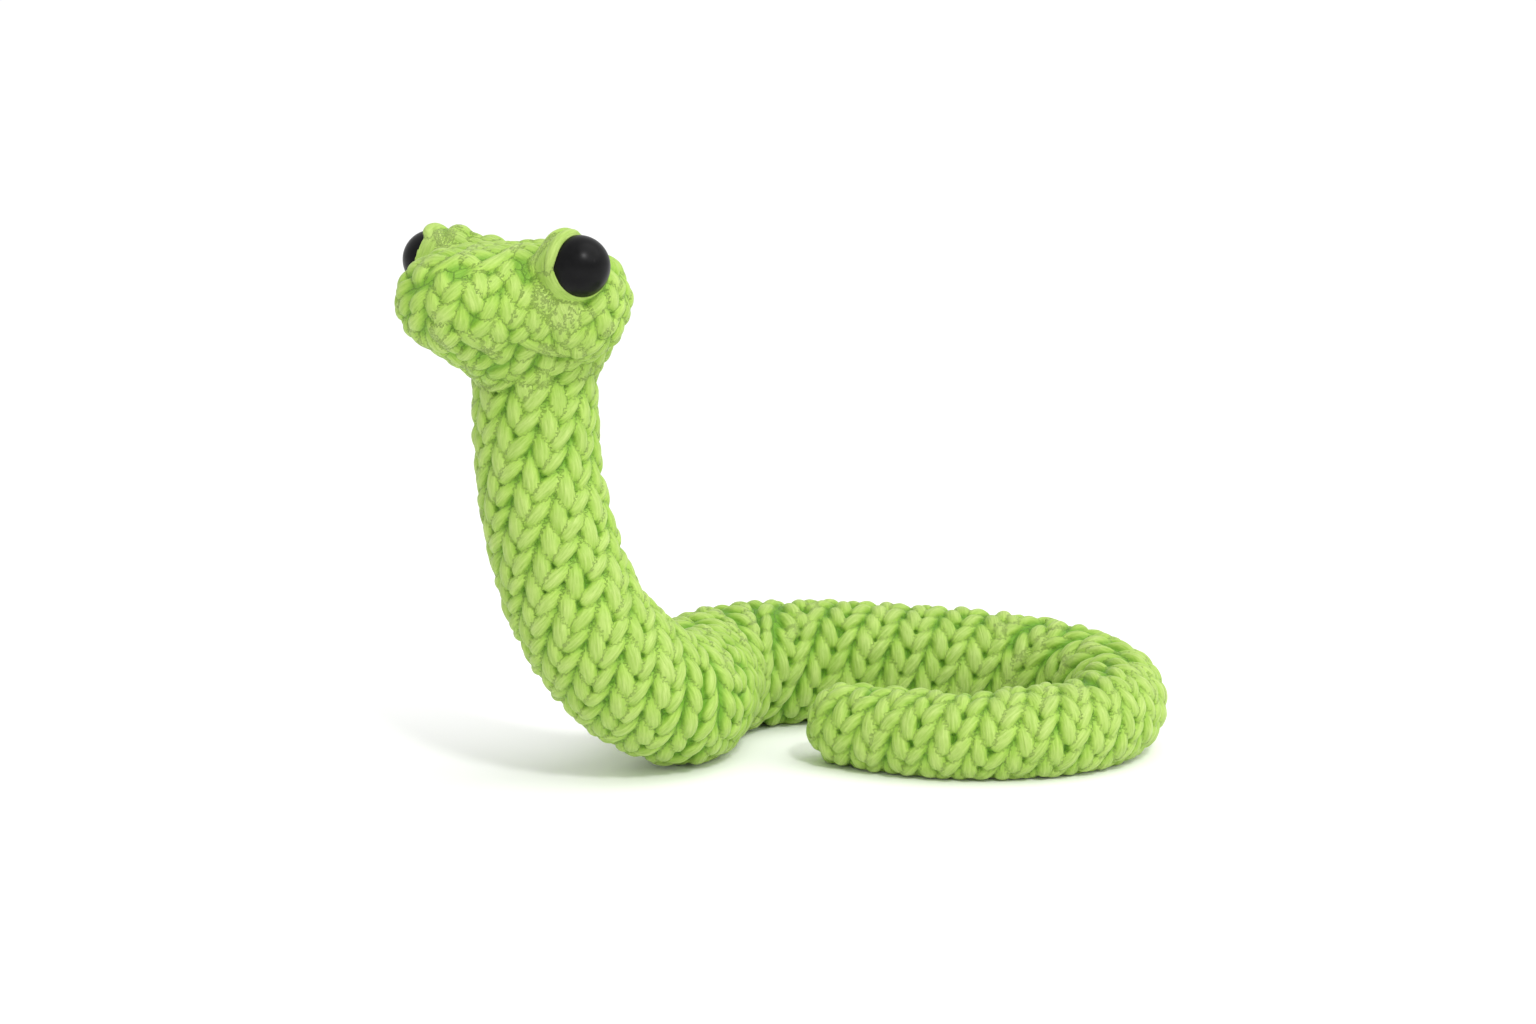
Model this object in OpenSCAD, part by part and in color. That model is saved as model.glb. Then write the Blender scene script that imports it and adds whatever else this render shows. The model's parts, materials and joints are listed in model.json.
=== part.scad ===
// Knitted toy snake that holds a pose: yarn skin, fibre filling, ball-and-socket spine.
// Millimetres, +Z up. The origin is the middle of the flat under the base link.
// The tail lies on the floor behind and beside the base; the neck rises to -X.

/* [Spine] */
// distance between neighbouring ball centres
pitch = 16; // [14:0.5:18]
// ball diameter
ball_d = 7; // [6:0.1:8]
// gap between a ball and its cup, per side
ball_play = 0.05; // [0.02:0.01:0.1]
// outside diameter of a cup
cup_d = 9.4; // [9:0.1:11]
// half angle of a cup's mouth
cup_mouth = 68; // [60:1:72]
// diameter of the rod between ball and cup
rod_d = 2.6; // [2:0.1:3.2]
// width of the spring slits in a cup
slit_w = 0.6; // [0.3:0.1:1]
// largest bend any joint reaches
bend_limit = 45; // [30:1:46]

/* [Body] */
// radius of the body at the base
base_r = 13.0; // [10:0.1:15]
// radius of the body at the tail tip
tip_r = 8.2; // [6:0.1:10]
// radius of the neck under the head
neck_r = 11.2; // [9:0.1:13]
// thickness of the knitted skin
skin_t = 2.4; // [1.5:0.1:3]
// how far the soft underside flattens on the floor
sag = 0.6; // [0.3:0.1:1.2]
// gap between the nested ends of two lengths of body
nest_gap = 0.4; // [0.3:0.1:1]

/* [Resting pose] */
// direction the base link points, seen from above
base_heading = -96; // [-140:1:-60]
// turn at each tail joint, seen from above, base to tip
tail_turn = [22, 37, 23, 0, 11, 37, 38, 38, 37, 26, 27]; // [0:1:38]
// direction of each neck link, seen from above, base to head
neck_heading = [-127, -156, -180, -180, -180]; // [-180:1:-90]
// climb of each neck link, base to head
neck_climb = [22, 49, 70, 81, 90]; // [0:1:95]

/* [Head] */
// direction the head faces, seen from above
head_heading = -130; // [-170:1:-90]
// radius of the cheeks
cheek_r = 10.6; // [9:0.1:12]
// cheek centres, out from the middle
cheek_out = 8.9; // [6:0.1:11]
// radius of the snout
snout_r = 8.8; // [7:0.1:10]
// snout centres ahead of the neck
snout_reach = 20.4; // [16:0.1:24]
// snout centres, out from the middle
snout_out = 1.6; // [1:0.1:5]
// radius of the brow over each eye
brow_r = 5.3; // [4:0.1:7]
// radius of the bulge behind each eye
temple_r = 11.1; // [9:0.1:12]
// how far the head can nod either way
nod_limit = 20; // [10:1:25]

/* [Eyes] */
// bead diameter
eye_d = 11; // [9:0.5:12]
// eye centre ahead of the neck
eye_reach = 7.6; // [5:0.1:10]
// eye centre out from the middle
eye_out = 18.6; // [16:0.1:20]
// eye centre above the head joint
eye_up = 19.4; // [17:0.1:22]
// outward turn of the eye from straight ahead
eye_yaw = 76; // [50:1:90]
// upward tilt of the eye
eye_tilt = 14; // [0:1:30]
// shank diameter
shank_d = 3.2; // [2.4:0.1:4]
// shank length from the bead centre
shank_len = 13; // [10:0.5:15]
// lock washer diameter
washer_d = 8.5; // [7:0.5:10]
// lock washer thickness
washer_t = 1.2; // [0.8:0.1:2]
// lock washer distance from the bead centre
washer_at = 9; // [8:0.1:10]
// clearance of pieces that are stitched or pressed together
snug = 0.02; // [0.01:0.01:0.05]

/* [Hidden] */
$fn = 96;
yarn = [0.56, 0.74, 0.26];
fibre = [0.94, 0.94, 0.91];
plastic = [0.80, 0.82, 0.84];
black = [0.03, 0.03, 0.03];
tail_n = len(tail_turn);
neck_n = len(neck_climb);
cup_r = cup_d / 2;
// a rod tilted to the limit, with half its own width to spare
flare = bend_limit + 17;
rod_bite = 0.6;
paddle_d = 6;
flange_d = 15;
flange_t = 2;
flange_up = 11;
head_up = 12.6;
snout_up = 13.2;
cheek_reach = 2.4;
crown_r = 14.8;
crown_up = 8.5;
brow_reach = 5.7;
brow_out = 14.6;
brow_up = 20.8;
temple_reach = 1.5;
temple_out = 10.2;
floor_span = 400;

// smooth taper from one radius to another over n joints
function ease(from, to, k, n) = to + (from - to) * (1 + cos(180 * k / n)) / 2;
function tail_r(k) = ease(base_r, tip_r, k, tail_n);
function throat_r(k) = ease(base_r, neck_r, k, neck_n);
function heading_vec(h, c) = [cos(c) * cos(h), cos(c) * sin(h), sin(c)];

// tail joints 0 .. tail_n, the last one being the middle of the tip
function turned(k) = k < 0 ? 0 : turned(k - 1) + tail_turn[k];
function tail_heading(k) = base_heading + 180 - turned(k);
function tail_z(k) = tail_r(k) - sag;
function tail_drop(k) = asin((tail_z(k + 1) - tail_z(k)) / pitch);
function tail_joint(k) = k == 0
    ? [0, 0, base_r - sag] - heading_vec(base_heading, 0) * pitch / 2
    : tail_joint(k - 1) + pitch * heading_vec(tail_heading(k - 1), tail_drop(k - 1));

// neck joints 0 .. neck_n, the last one carrying the head
function neck_joint(k) = k == 0
    ? [0, 0, base_r - sag] + heading_vec(base_heading, 0) * pitch / 2
    : neck_joint(k - 1) + pitch * heading_vec(neck_heading[k - 1], neck_climb[k - 1]);

// local Z runs along the link
module along(at, heading, climb) {
    translate(at)
        rotate([0, 90 - climb, heading])
            children();
}

module on_tail(k) {
    along(tail_joint(k - 1), tail_heading(k - 1), tail_drop(k - 1))
        children();
}

module on_neck(k) {
    along(neck_joint(k - 1), neck_heading[k - 1], neck_climb[k - 1])
        children();
}

module on_base() {
    along(tail_joint(0), base_heading, 0)
        children();
}

// local X forward, Y to the snake's left
module on_head() {
    translate(neck_joint(neck_n))
        rotate([0, 0, head_heading])
            children();
}

module above_floor() {
    difference() {
        children();
        translate([-floor_span / 2, -floor_span / 2, -floor_span])
            cube(floor_span);
    }
}

// ---- profiles, X = radius and Y = distance along the link ----

module end_cap(r) {
    intersection() {
        translate([0, pitch])
            circle(r);
        translate([0, pitch])
            square(2 * r);
    }
}

module body_profile(r0, r1, inset) {
    polygon([[0, 0], [r0 - inset, 0], [r1 - inset, pitch], [0, pitch]]);
    end_cap(r1 - inset);
}

// clears the nested end of the length before
module start_cut(r0, limit) {
    circle(r0 + nest_gap);
    translate([0, -pitch])
        square([2 * r0, pitch + r0 * tan(limit / 2) + nest_gap + 0.2]);
}

// clears the next link when it swings
module flare_cut() {
    polygon([
        [0, pitch],
        [4 * base_r * sin(flare), pitch + 4 * base_r * cos(flare)],
        [0, pitch + 4 * base_r]
    ]);
}

module link_pocket() {
    translate([0, pitch])
        circle(cup_r);
    square([rod_d / 2, pitch]);
}

module skin_profile(r0, r1, open_end) {
    difference() {
        body_profile(r0, r1, 0);
        body_profile(r0, r1, skin_t);
        start_cut(r0, bend_limit);
        if (open_end) flare_cut();
    }
}

module fill_profile(r0, r1) {
    difference() {
        body_profile(r0, r1, skin_t);
        start_cut(r0, bend_limit);
        flare_cut();
        link_pocket();
    }
}

module tip_fill_profile(r0, r1) {
    difference() {
        body_profile(r0, r1, skin_t);
        start_cut(r0, bend_limit);
        square([rod_d / 2, pitch]);
        translate([0, pitch])
            circle(d = paddle_d);
    }
}

module both_ends() {
    children();
    translate([0, pitch])
        mirror([0, 1])
            children();
}

module base_skin_profile() {
    difference() {
        both_ends()
            body_profile(base_r, base_r, 0);
        both_ends()
            body_profile(base_r, base_r, skin_t);
        both_ends()
            flare_cut();
    }
}

module base_fill_profile() {
    difference() {
        both_ends()
            body_profile(base_r, base_r, skin_t);
        both_ends()
            flare_cut();
        both_ends()
            link_pocket();
    }
}

// ---- spine ----

module cup() {
    difference() {
        sphere(d = cup_d);
        sphere(d = ball_d + 2 * ball_play);
        cylinder(h = cup_d, r1 = 0, r2 = cup_d * tan(cup_mouth));
        for (a = [0, 90])
            rotate([0, 0, a])
                translate([-cup_d, -slit_w / 2, -0.4])
                    cube([2 * cup_d, slit_w, cup_d]);
    }
}

module link() {
    sphere(d = ball_d);
    cylinder(d = rod_d, h = pitch - cup_r + rod_bite);
    translate([0, 0, pitch])
        cup();
}

module base_link() {
    translate([0, 0, cup_r - rod_bite])
        cylinder(d = rod_d, h = pitch - cup_d + 2 * rod_bite);
    translate([0, 0, pitch])
        cup();
    mirror([0, 0, 1])
        cup();
}

module tip_link() {
    sphere(d = ball_d);
    cylinder(d = rod_d, h = pitch);
    translate([0, 0, pitch])
        sphere(d = paddle_d);
}

// ---- head ----

// two spheres joined by the cone that touches both
module taper(p, rp, q, rq) {
    v = q - p;
    reach = norm(v);
    lean = asin((rp - rq) / reach);
    translate(p)
        sphere(rp);
    translate(q)
        sphere(rq);
    translate(p)
        rotate([0, acos(v[2] / reach), atan2(v[1], v[0])])
            translate([0, 0, rp * sin(lean)])
                cylinder(
                    h = reach - (rp - rq) * sin(lean),
                    r1 = rp * cos(lean) - snug,
                    r2 = rq * cos(lean) - snug
                );
}

module head_form(inset) {
    for (s = [-1, 1]) {
        taper(
            [cheek_reach, s * cheek_out, head_up], cheek_r - inset,
            [snout_reach, s * snout_out, snout_up], snout_r - inset
        );
        translate([brow_reach, s * brow_out, brow_up])
            sphere(brow_r - inset);
        translate([temple_reach, s * temple_out, head_up])
            sphere(temple_r - inset);
    }
    taper(
        [0, 0, crown_up], crown_r - inset,
        [snout_reach, 0, snout_up], snout_r - inset + 0.3
    );
    cylinder(h = head_up, r = neck_r + 0.4 - inset);
}

module head_start() {
    sphere(neck_r + nest_gap);
    translate([-2 * base_r, -2 * base_r, -4 * base_r])
        cube([4 * base_r, 4 * base_r, 4 * base_r + neck_r * tan(nod_limit / 2) + nest_gap + 0.2]);
}

// side 1 is the snake's left
module at_eye(side) {
    translate([eye_reach, side * eye_out, eye_up])
        rotate([0, 90 - eye_tilt, side * eye_yaw])
            children();
}

module eye(side) {
    at_eye(side) {
        sphere(d = eye_d);
        translate([0, 0, -shank_len])
            cylinder(d = shank_d, h = shank_len);
    }
}

module washer(side) {
    at_eye(side)
        translate([0, 0, -washer_at - washer_t])
            difference() {
                cylinder(d = washer_d, h = washer_t);
                translate([0, 0, -1])
                    cylinder(d = shank_d + 2 * snug, h = washer_t + 2);
            }
}

module eye_seat(side) {
    at_eye(side) {
        sphere(d = eye_d + 2 * snug);
        translate([0, 0, -shank_len - snug])
            cylinder(d = shank_d + 2 * snug, h = shank_len);
    }
}

module washer_seat(side) {
    at_eye(side)
        translate([0, 0, -washer_at - washer_t - snug])
            cylinder(d = washer_d + 2 * snug, h = washer_t + 2 * snug);
}

module head_link_form() {
    sphere(d = ball_d);
    cylinder(d = rod_d, h = flange_up);
    translate([0, 0, flange_up])
        cylinder(d = flange_d, h = flange_t);
}

module head_link_seat() {
    cylinder(d = rod_d + 2 * snug, h = flange_up);
    translate([0, 0, flange_up - snug])
        cylinder(d = flange_d + 2 * snug, h = flange_t + 2 * snug);
}

// ---- sub-parts ----

module tail_skin(k) {
    above_floor()
        on_tail(k)
            rotate_extrude()
                skin_profile(tail_r(k - 1), tail_r(k), true);
}

module tail_fill(k) {
    above_floor()
        on_tail(k)
            rotate_extrude()
                fill_profile(tail_r(k - 1), tail_r(k));
}

module tip_skin() {
    above_floor()
        on_tail(tail_n)
            rotate_extrude()
                skin_profile(tail_r(tail_n - 1), tip_r, false);
}

module tip_fill() {
    above_floor()
        on_tail(tail_n)
            rotate_extrude()
                tip_fill_profile(tail_r(tail_n - 1), tip_r);
}

module neck_skin(k) {
    on_neck(k)
        rotate_extrude()
            skin_profile(throat_r(k - 1), throat_r(k), true);
}

module neck_fill(k) {
    on_neck(k)
        rotate_extrude()
            fill_profile(throat_r(k - 1), throat_r(k));
}

module skin_base()
    color(yarn)
        above_floor()
            on_base()
                rotate_extrude()
                    base_skin_profile();

module fill_base()
    color(fibre)
        above_floor()
            on_base()
                rotate_extrude()
                    base_fill_profile();

module link_base()
    color(plastic)
        on_base()
            base_link();

module skin_t01()
    color(yarn)
        tail_skin(1);

module fill_t01()
    color(fibre)
        tail_fill(1);

module link_t01()
    color(plastic)
        on_tail(1)
            link();

module skin_t02()
    color(yarn)
        tail_skin(2);

module fill_t02()
    color(fibre)
        tail_fill(2);

module link_t02()
    color(plastic)
        on_tail(2)
            link();

module skin_t03()
    color(yarn)
        tail_skin(3);

module fill_t03()
    color(fibre)
        tail_fill(3);

module link_t03()
    color(plastic)
        on_tail(3)
            link();

module skin_t04()
    color(yarn)
        tail_skin(4);

module fill_t04()
    color(fibre)
        tail_fill(4);

module link_t04()
    color(plastic)
        on_tail(4)
            link();

module skin_t05()
    color(yarn)
        tail_skin(5);

module fill_t05()
    color(fibre)
        tail_fill(5);

module link_t05()
    color(plastic)
        on_tail(5)
            link();

module skin_t06()
    color(yarn)
        tail_skin(6);

module fill_t06()
    color(fibre)
        tail_fill(6);

module link_t06()
    color(plastic)
        on_tail(6)
            link();

module skin_t07()
    color(yarn)
        tail_skin(7);

module fill_t07()
    color(fibre)
        tail_fill(7);

module link_t07()
    color(plastic)
        on_tail(7)
            link();

module skin_t08()
    color(yarn)
        tail_skin(8);

module fill_t08()
    color(fibre)
        tail_fill(8);

module link_t08()
    color(plastic)
        on_tail(8)
            link();

module skin_t09()
    color(yarn)
        tail_skin(9);

module fill_t09()
    color(fibre)
        tail_fill(9);

module link_t09()
    color(plastic)
        on_tail(9)
            link();

module skin_t10()
    color(yarn)
        tail_skin(10);

module fill_t10()
    color(fibre)
        tail_fill(10);

module link_t10()
    color(plastic)
        on_tail(10)
            link();

module skin_t11()
    color(yarn)
        tip_skin();

module fill_t11()
    color(fibre)
        tip_fill();

module link_t11()
    color(plastic)
        on_tail(tail_n)
            tip_link();

module skin_n1()
    color(yarn)
        neck_skin(1);

module fill_n1()
    color(fibre)
        neck_fill(1);

module link_n1()
    color(plastic)
        on_neck(1)
            link();

module skin_n2()
    color(yarn)
        neck_skin(2);

module fill_n2()
    color(fibre)
        neck_fill(2);

module link_n2()
    color(plastic)
        on_neck(2)
            link();

module skin_n3()
    color(yarn)
        neck_skin(3);

module fill_n3()
    color(fibre)
        neck_fill(3);

module link_n3()
    color(plastic)
        on_neck(3)
            link();

module skin_n4()
    color(yarn)
        neck_skin(4);

module fill_n4()
    color(fibre)
        neck_fill(4);

module link_n4()
    color(plastic)
        on_neck(4)
            link();

module skin_n5()
    color(yarn)
        neck_skin(5);

module fill_n5()
    color(fibre)
        neck_fill(5);

module link_n5()
    color(plastic)
        on_neck(5)
            link();

module head_skin()
    color(yarn)
        on_head()
            difference() {
                head_form(0);
                head_form(skin_t);
                head_start();
                eye_seat(1);
                eye_seat(-1);
                washer_seat(1);
                washer_seat(-1);
            }

module head_fill()
    color(fibre)
        on_head()
            difference() {
                head_form(skin_t);
                head_start();
                head_link_seat();
                eye_seat(1);
                eye_seat(-1);
                washer_seat(1);
                washer_seat(-1);
            }

module head_link()
    color(plastic)
        on_head()
            head_link_form();

module eye_left()
    color(black)
        on_head()
            eye(1);

module eye_right()
    color(black)
        on_head()
            eye(-1);

module washer_left()
    color(plastic)
        on_head()
            washer(1);

module washer_right()
    color(plastic)
        on_head()
            washer(-1);

skin_base();
fill_base();
link_base();
skin_t01();
fill_t01();
link_t01();
skin_t02();
fill_t02();
link_t02();
skin_t03();
fill_t03();
link_t03();
skin_t04();
fill_t04();
link_t04();
skin_t05();
fill_t05();
link_t05();
skin_t06();
fill_t06();
link_t06();
skin_t07();
fill_t07();
link_t07();
skin_t08();
fill_t08();
link_t08();
skin_t09();
fill_t09();
link_t09();
skin_t10();
fill_t10();
link_t10();
skin_t11();
fill_t11();
link_t11();
skin_n1();
fill_n1();
link_n1();
skin_n2();
fill_n2();
link_n2();
skin_n3();
fill_n3();
link_n3();
skin_n4();
fill_n4();
link_n4();
skin_n5();
fill_n5();
link_n5();
head_skin();
head_fill();
head_link();
eye_left();
eye_right();
washer_left();
washer_right();
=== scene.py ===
# Knitted toy snake: thick yarn over a posable spine, tail curled on the floor, neck raised.
import json
import math
import random
import bpy
import numpy as np
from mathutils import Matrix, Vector
from mathutils.bvhtree import BVHTree
from mathutils.kdtree import KDTree


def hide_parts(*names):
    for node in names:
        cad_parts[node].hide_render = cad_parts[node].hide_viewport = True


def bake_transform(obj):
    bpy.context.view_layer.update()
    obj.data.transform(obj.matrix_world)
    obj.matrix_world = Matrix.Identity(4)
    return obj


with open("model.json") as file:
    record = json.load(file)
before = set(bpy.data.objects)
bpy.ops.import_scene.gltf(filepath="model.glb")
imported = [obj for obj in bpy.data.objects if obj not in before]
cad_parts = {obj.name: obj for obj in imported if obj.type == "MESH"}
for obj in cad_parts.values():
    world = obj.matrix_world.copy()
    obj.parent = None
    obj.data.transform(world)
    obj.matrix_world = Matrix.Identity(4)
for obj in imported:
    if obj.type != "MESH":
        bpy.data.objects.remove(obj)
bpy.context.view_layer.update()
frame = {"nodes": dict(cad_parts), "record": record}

scene = bpy.context.scene
dice = random.Random(11)
jointNamed = {j["name"]: j for j in frame["record"]["behaviour"]["joints"]}

# The body is a tube on a curve through the ball joints, from the tail tip to the head.
body = {
    "linkLength": 0.016,
    "tipPaddle": 0.003,        # radius of the rounded end of the last link
    "tailCount": 11,
    "baseRadius": 0.0130,
    "tipRadius": 0.0082,
    "neckRadius": 0.0113,
    "round": 0.30,             # how far the curve is eased off its points, towards a softer one
    "overTop": 0.35,           # how far the half seen from the front reaches over the top
    "samples": 1400,
    "pastHead": 0.004,         # how far the curve runs on into the head
    "upright": 0.12,           # a link flatter than this share of its length keeps the last heading
    "calm": 30,                # samples on each side that the heading is averaged over
    "turnFrom": 0.15,          # where on the first neck link the unrolling begins to turn
}


def unit(v):
    v = np.asarray(v, float)
    return v / np.maximum(np.linalg.norm(v, axis=-1, keepdims=True), 1e-12)


def place(name):
    return np.array(jointNamed[name]["pos_m"], float)


def splineThrough(knots, values, at):
    # natural cubic through values at knots
    n = len(knots)
    h = np.diff(knots)
    a = np.eye(n)
    b = np.zeros((n, values.shape[1]))
    for i in range(1, n - 1):
        a[i, i - 1:i + 2] = h[i - 1], 2 * (h[i - 1] + h[i]), h[i]
        b[i] = 6 * ((values[i + 1] - values[i]) / h[i] - (values[i] - values[i - 1]) / h[i - 1])
    m = np.linalg.solve(a, b)
    i = np.clip(np.searchsorted(knots, at) - 1, 0, n - 2)
    t0, t1 = (knots[i + 1] - at)[:, None], (at - knots[i])[:, None]
    g = h[i][:, None]
    return ((m[i] * t0 ** 3 + m[i + 1] * t1 ** 3) / (6 * g)
            + (values[i] / g - m[i] * g / 6) * t0 + (values[i + 1] / g - m[i + 1] * g / 6) * t1)


def splineNear(values, at):
    # uniform cubic B-spline: passes close to the values without waves
    n = len(values)
    held = np.concatenate([[2 * values[0] - values[1]], values, [2 * values[-1] - values[-2]]])
    i = np.clip(np.floor(at).astype(int), 0, n - 2)
    f = (at - i)[:, None]
    return ((1 - f) ** 3 * held[i] + (3 * f ** 3 - 6 * f ** 2 + 4) * held[i + 1]
            + (-3 * f ** 3 + 3 * f ** 2 + 3 * f + 1) * held[i + 2] + f ** 3 * held[i + 3]) / 6


def tipCentre():
    # middle of the rounded end of the last link
    pts = np.array([v.co for v in frame["nodes"]["link_t11"].data.vertices])
    start = place("coil_11")
    far = pts[np.argmax(np.linalg.norm(pts - start, axis=1))]
    reach = np.linalg.norm(far - start)
    return start + (far - start) * (reach - body["tipPaddle"]) / reach


coils = ["coil_%02d" % k for k in range(body["tailCount"], 0, -1)]
rises = ["rise_1", "rise_2", "rise_3", "neck_lean", "head_turn", "head_nod"]
knotPoints = np.array([tipCentre()] + [place(n) for n in coils + rises])
knotAt = np.arange(len(knotPoints)) * body["linkLength"]
headAt = knotAt[-1]


def ease(first, last, t):
    return last + (first - last) * (1 + np.cos(np.pi * np.clip(t, 0, 1))) / 2


def buildPath():
    s = np.linspace(0, headAt + body["pastHead"], body["samples"])
    inside = np.minimum(s, headAt)
    centre = ((1 - body["round"]) * splineThrough(knotAt, knotPoints, inside)
              + body["round"] * splineNear(knotPoints, inside / body["linkLength"]))
    along = unit(np.gradient(centre, s, axis=0))
    topWay = along[np.searchsorted(s, headAt) - 3]
    over = (s - headAt)[:, None].clip(0)
    centre = centre + over * topWay
    along[s > headAt - 0.0005] = topWay
    # heading of each link, carried on where the neck stands upright
    headings = []
    for v in np.diff(knotPoints, axis=0):
        flat = math.hypot(v[0], v[1])
        leaning = flat > body["upright"] * np.linalg.norm(v)
        headings.append(math.atan2(v[1], v[0]) if leaning else headings[-1])
    heading = np.interp(s, (knotAt[1:] + knotAt[:-1]) / 2, np.unwrap(headings))
    calm = body["calm"]
    wide = np.ones(2 * calm + 1) / (2 * calm + 1)
    heading = np.convolve(np.pad(heading, calm, mode="edge"), wide, mode="valid")
    left = np.stack([-np.sin(heading), np.cos(heading), 0 * heading], -1)
    left = unit(left - (left * along).sum(-1, keepdims=True) * along)
    baseAt = knotAt[body["tailCount"]]
    neckAt = baseAt + body["linkLength"]
    radius = np.where(
        s < baseAt,
        ease(body["baseRadius"], body["tipRadius"], 1 - s / baseAt),
        ease(body["baseRadius"], body["neckRadius"], (s - neckAt) / (headAt - neckAt)))
    return {"s": s, "centre": centre, "along": along, "left": left, "up": np.cross(along, left),
            "radius": radius}


path = buildPath()


def unroll(side):
    # The knitting is unrolled as seen square from one side: side 0 is the left of the tail
    # and the front of the neck, side 1 the opposite.
    s, along, left, up = path["s"], path["along"], path["left"], path["up"]
    turned = np.unwrap(np.arctan2(left[:, 1], left[:, 0]))
    baseAt = knotAt[body["tailCount"]]
    share = np.clip((s - baseAt) / body["linkLength"] - body["turnFrom"], 0, 1)
    share = share * share * (3 - 2 * share)
    azimuth = turned * (1 - share) + turned[-1] * share + (0 if side == 0 else math.pi)
    view = np.stack([np.cos(azimuth), np.sin(azimuth), 0 * azimuth], -1)
    right = np.stack([-np.sin(azimuth), np.cos(azimuth), 0 * azimuth], -1)
    angle = np.unwrap(np.arctan2((up * view).sum(-1), (left * view).sum(-1)))
    radial = left * np.cos(angle)[:, None] + up * np.sin(angle)[:, None]
    square = up * np.cos(angle)[:, None] - left * np.sin(angle)[:, None]
    if side == 1:
        square = -square
    flat = unit(along - (along * view).sum(-1, keepdims=True) * view)
    line = path["centre"] + radial * path["radius"][:, None]
    across = np.cumsum((np.gradient(line, axis=0) * right).sum(-1))
    reach = math.pi / 2 * (1 - body["overTop"] * view[:, 1])
    for key, value in {"angle": angle, "right": right, "square": square, "flat": flat,
                       "across": across, "high": line[:, 2], "reach": reach}.items():
        path[key + str(side)] = value


unroll(0)
unroll(1)


def pathAt(key, s):
    v = path[key]
    if v.ndim == 1:
        return np.interp(s, path["s"], v)
    return np.stack([np.interp(s, path["s"], v[:, i]) for i in range(v.shape[1])], -1)


def surfaceAt(s, angle, inset):
    # point and normal on the body; s below 0 runs over the rounded tip
    r = pathAt("radius", np.maximum(s, 0))
    turn = np.clip(-s / r, 0, math.pi / 2)[..., None]
    left, up, along = pathAt("left", s), pathAt("up", s), pathAt("along", s)
    radial = left * np.cos(angle)[..., None] + up * np.sin(angle)[..., None]
    normal = radial * np.cos(turn) - along * np.sin(turn)
    return pathAt("centre", s) + normal * (r - inset)[..., None], normal


print("path", len(knotPoints), "points,", round(headAt * 1000), "mm")

# The head is measured ahead, left and up from the joint it nods on.
head = {
    "nod": place("head_nod"),
    "eyeReach": 0.0076, "eyeOut": 0.0186, "eyeUp": 0.0194, "eyeRadius": 0.0055,
    "eyeYaw": math.radians(76), "eyeTilt": math.radians(14),
    # ahead, left, up, radius
    "cheek": (0.0024, 0.0089, 0.0126, 0.0106),
    "snout": (0.0204, 0.0016, 0.0132, 0.0088),
    "brow": (0.0057, 0.0146, 0.0208, 0.0053),
    "temple": (0.0015, 0.0102, 0.0126, 0.0111),
    "crown": (0.0, 0.0, 0.0085, 0.0148),
    "snoutTop": (0.0204, 0.0, 0.0132, 0.0091),
    "taperSteps": 9,
    "moundBack": 0.0030, "moundRadius": 0.0064,
}
headLeft = unit(np.array(jointNamed["head_nod"]["axis"], float))
headAhead = np.array([headLeft[1], -headLeft[0], 0.0])
headUp = np.array([0, 0, 1.0])


def onHead(ahead, left, up):
    return head["nod"] + headAhead * ahead + headLeft * left + headUp * up


def eyeCentre(side):
    return onHead(head["eyeReach"], side * head["eyeOut"], head["eyeUp"])


def eyeWay(side):
    yaw, tilt = head["eyeYaw"], head["eyeTilt"]
    flat = headAhead * math.cos(yaw) + headLeft * side * math.sin(yaw)
    return unit(flat * math.cos(tilt) + headUp * math.sin(tilt))


def moundCentre(side):
    # the soft swelling that carries the bead
    return eyeCentre(side) - eyeWay(side) * head["moundBack"]


def headBalls():
    balls = []
    steps = np.linspace(0, 1, head["taperSteps"])
    for side in (1, -1):
        flip = np.array([1, side, 1, 1])
        cheek, snout = np.array(head["cheek"]) * flip, np.array(head["snout"]) * flip
        balls += [cheek + (snout - cheek) * t for t in steps]
        balls += [np.array(head["brow"]) * flip, np.array(head["temple"]) * flip]
        mound = (moundCentre(side) - head["nod"]) @ np.stack([headAhead, headLeft, headUp], 1)
        balls.append([*mound, head["moundRadius"]])
    crown, snout = np.array(head["crown"]), np.array(head["snoutTop"])
    return balls + [crown + (snout - crown) * t for t in steps]


def meshObject(name, verts, faces, smooth=True):
    mesh = bpy.data.meshes.new(name)
    mesh.from_pydata([tuple(v) for v in verts], [], [tuple(f) for f in faces])
    mesh.update()
    if smooth:
        mesh.shade_smooth()
    obj = bpy.data.objects.new(name, mesh)
    scene.collection.objects.link(obj)
    return obj


def withModifiers(obj, *steps):
    # adds each modifier, bakes them all into the mesh
    for kind, values in steps:
        m = obj.modifiers.new(kind, kind)
        for key, value in values.items():
            setattr(m, key, value)
    bpy.context.view_layer.update()
    baked = bpy.data.meshes.new_from_object(obj.evaluated_get(bpy.context.evaluated_depsgraph_get()))
    obj.modifiers.clear()
    old = obj.data
    obj.data = baked
    bpy.data.meshes.remove(old)
    return obj


def coords(mesh):
    out = np.empty(len(mesh.vertices) * 3, np.float32)
    mesh.vertices.foreach_get("co", out)
    return out.reshape(-1, 3).astype(float)


def gridFaces(rings, around, start=0):
    f = []
    for i in range(rings - 1):
        for j in range(around):
            k = (j + 1) % around
            f.append((start + i * around + j, start + i * around + k,
                      start + (i + 1) * around + k, start + (i + 1) * around + j))
    return f


def cappedGrid(rings, around, start=0):
    last = start + (rings - 1) * around
    return gridFaces(rings, around, start) + [
        tuple(start + j for j in range(around))[::-1], tuple(last + j for j in range(around))]


# The plump form under the stitches.
core = {
    "inset": 0.0013, "headInset": 0.0009,
    "voxel": 0.0009, "smooth": 9,
    "around": 56, "step": 0.0012, "tipRings": 14,
    "ballRings": 17, "ballSides": 28,
}


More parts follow.
